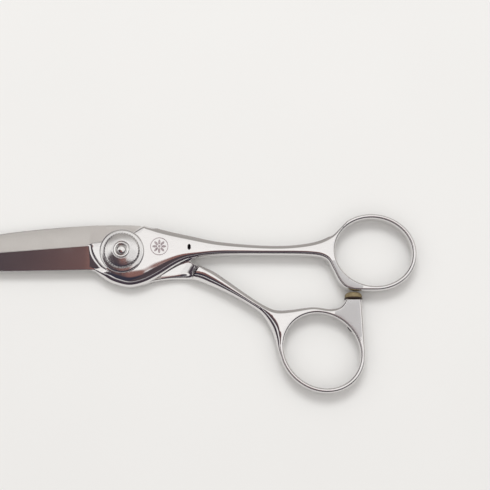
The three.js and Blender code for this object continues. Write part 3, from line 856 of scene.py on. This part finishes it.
# The lock ring and the pivot stud: a snap ring that keeps the dial on, and a stud with a ball end
# on top, a square neck that the thumb half turns with, and a flat head at the back.
ring_profile = ([(1.72, 8.56), (2.45, 8.56)] + curve([(2.5, 8.6), (2.5, 8.85), (2.42, 9.0), (2.25, 9.09)], 4)
                + curve([(2.25, 9.09), (2.0, 9.09), (1.8, 9.02), (1.72, 8.9)], 4))
ring_steel = wheel_finish("lock_ring_steel", (0.86, 0.85, 0.84), 0.05, 0.10, 0.05, (700, 700, 40))
lock_ring = build("lock_ring_turned", [(*lathe(ring_profile, 128), 0)], [ring_steel], 40)
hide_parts("lock_ring")
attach(lock_ring, "thumb_body")

stud_profile = (
    [(0.02, 0.0), (4.25, 0.0)] + curve([(4.3, 0.01), (4.48, 0.06), (4.57, 0.16), (4.6, 0.3)], 4)
    + [(4.6, 0.88), (2.0, 0.9), (2.0, 8.42), (1.46, 8.46)]
    + curve([(1.5, 8.6), (1.5, 8.72), (1.38, 8.97), (1.12, 9.14), (0.75, 9.24), (0.35, 9.29), (0.02, 9.3)], 5)
)
NECK_HALF, NECK_LOW, NECK_HIGH = 2.1, 0.7, 3.1
neck_vertices = [(NECK_HALF * x, NECK_HALF * y, z) for z in (NECK_LOW, NECK_HIGH)
                 for x, y in ((-1, -1), (1, -1), (1, 1), (-1, 1))]
neck_faces = [(3, 2, 1, 0), (4, 5, 6, 7)] + [(i, (i + 1) % 4, (i + 1) % 4 + 4, i + 4) for i in range(4)]
stud_steel = wheel_finish("stud_steel", (0.80, 0.785, 0.775), 0.04, 0.10, 0.06, (900, 900, 60))
stud = build("pivot_stud_turned", [(*lathe(stud_profile, 128), 0), (neck_vertices, neck_faces, 0)],
             [stud_steel], 40)
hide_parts("pivot_stud")
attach(stud, "thumb_body")

# The bumper: a tan rubber button on a thin dark backing disc, held in the end of the post by a
# short steel screw, so that the rings close softly.
BUMPER_X, BUMPER_Z = 72.0, 3.4


def across_post(profile):
    """A turned piece about the line along Y through the bumper, from (radius, y) points."""
    vertices, faces = lathe(profile, 72)
    return [(BUMPER_X + x, h, BUMPER_Z + y) for x, y, h in vertices], faces


def moulded(name, colour, dark, rough, grain):
    """Moulded rubber with a dusty bloom and fine pores."""
    material = bpy.data.materials.new(name)
    material.use_nodes = True
    nodes, links = material.node_tree.nodes, material.node_tree.links
    bsdf = nodes["Principled BSDF"]
    where = nodes.new("ShaderNodeTexCoord")
    bloom = nodes.new("ShaderNodeTexNoise")
    bloom.inputs["Scale"].default_value = 900.0
    bloom.inputs["Detail"].default_value = 6.0
    links.new(where.outputs["Object"], bloom.inputs["Vector"])
    tint = nodes.new("ShaderNodeValToRGB")
    tint.color_ramp.elements[0].color = (*dark, 1)
    tint.color_ramp.elements[1].color = (*colour, 1)
    tint.color_ramp.elements[0].position = 0.3
    tint.color_ramp.elements[1].position = 0.7
    links.new(bloom.outputs["Fac"], tint.inputs["Fac"])
    links.new(tint.outputs["Color"], bsdf.inputs["Base Color"])
    spread = nodes.new("ShaderNodeMapRange")
    spread.inputs["To Min"].default_value = rough - 0.1
    spread.inputs["To Max"].default_value = rough + 0.12
    links.new(bloom.outputs["Fac"], spread.inputs["Value"])
    links.new(spread.outputs["Result"], bsdf.inputs["Roughness"])
    pores = nodes.new("ShaderNodeTexVoronoi")
    pores.inputs["Scale"].default_value = grain
    links.new(where.outputs["Object"], pores.inputs["Vector"])
    bump = nodes.new("ShaderNodeBump")
    bump.inputs["Strength"].default_value = 0.25
    bump.inputs["Distance"].default_value = 0.00004
    links.new(pores.outputs["Distance"], bump.inputs["Height"])
    links.new(bump.outputs["Normal"], bsdf.inputs["Normal"])
    return material


tan_rubber = moulded("tan_rubber", (0.30, 0.235, 0.125), (0.20, 0.15, 0.08), 0.55, 5200.0)
dark_fibre = moulded("dark_fibre", (0.040, 0.020, 0.012), (0.022, 0.012, 0.008), 0.5, 3800.0)
button_profile = ([(0.02, -14.29), (2.62, -14.29)]
                  + curve([(2.68, -14.24), (2.70, -14.0), (2.62, -13.5), (2.3, -13.0), (1.7, -12.68),
                           (0.9, -12.54), (0.02, -12.51)], 5))
bumper = build("bumper_button", [(*across_post(button_profile[::-1]), 0)], [tan_rubber], 50)
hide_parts("bumper")
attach(bumper, "thumb_body")
disc_profile = [(0.92, -14.84), (2.7, -14.84), (2.78, -14.78), (2.8, -14.6), (2.78, -14.42), (2.7, -14.36),
                (0.92, -14.36)]
backing = build("bumper_backing", [(*across_post(disc_profile[::-1]), 0)], [dark_fibre], 50)
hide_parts("bumper_base")
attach(backing, "thumb_body")

# The hidden running parts: bronze washer, bush and cage, hardened races and click plate, eight
# bearing balls and the bumper's screw. They are as turned or stamped, and lightly oiled.
running_steel = wheel_finish("hardened_running_steel", (0.62, 0.61, 0.60), 0.14, 0.26, 0.2, (900, 900, 60))
running_bronze = wheel_finish("oiled_bronze", (0.56, 0.36, 0.15), 0.22, 0.38, 0.25, (900, 900, 60))
bronze_parts = ["blade_washer", "bearing_bush", "ball_cage"]
steel_parts = ["lower_race", "upper_race", "click_plate", "bumper_screw"]
steel_parts += [f"bearing_ball_{i}" for i in range(1, 9)]
for node in bronze_parts + steel_parts:
    material = running_bronze if node in bronze_parts else running_steel
    part = bpy.data.objects[node]
    if part.material_slots:
        for slot in part.material_slots:
            slot.link = "OBJECT"
            slot.material = material
    else:
        part.data.materials.append(material)
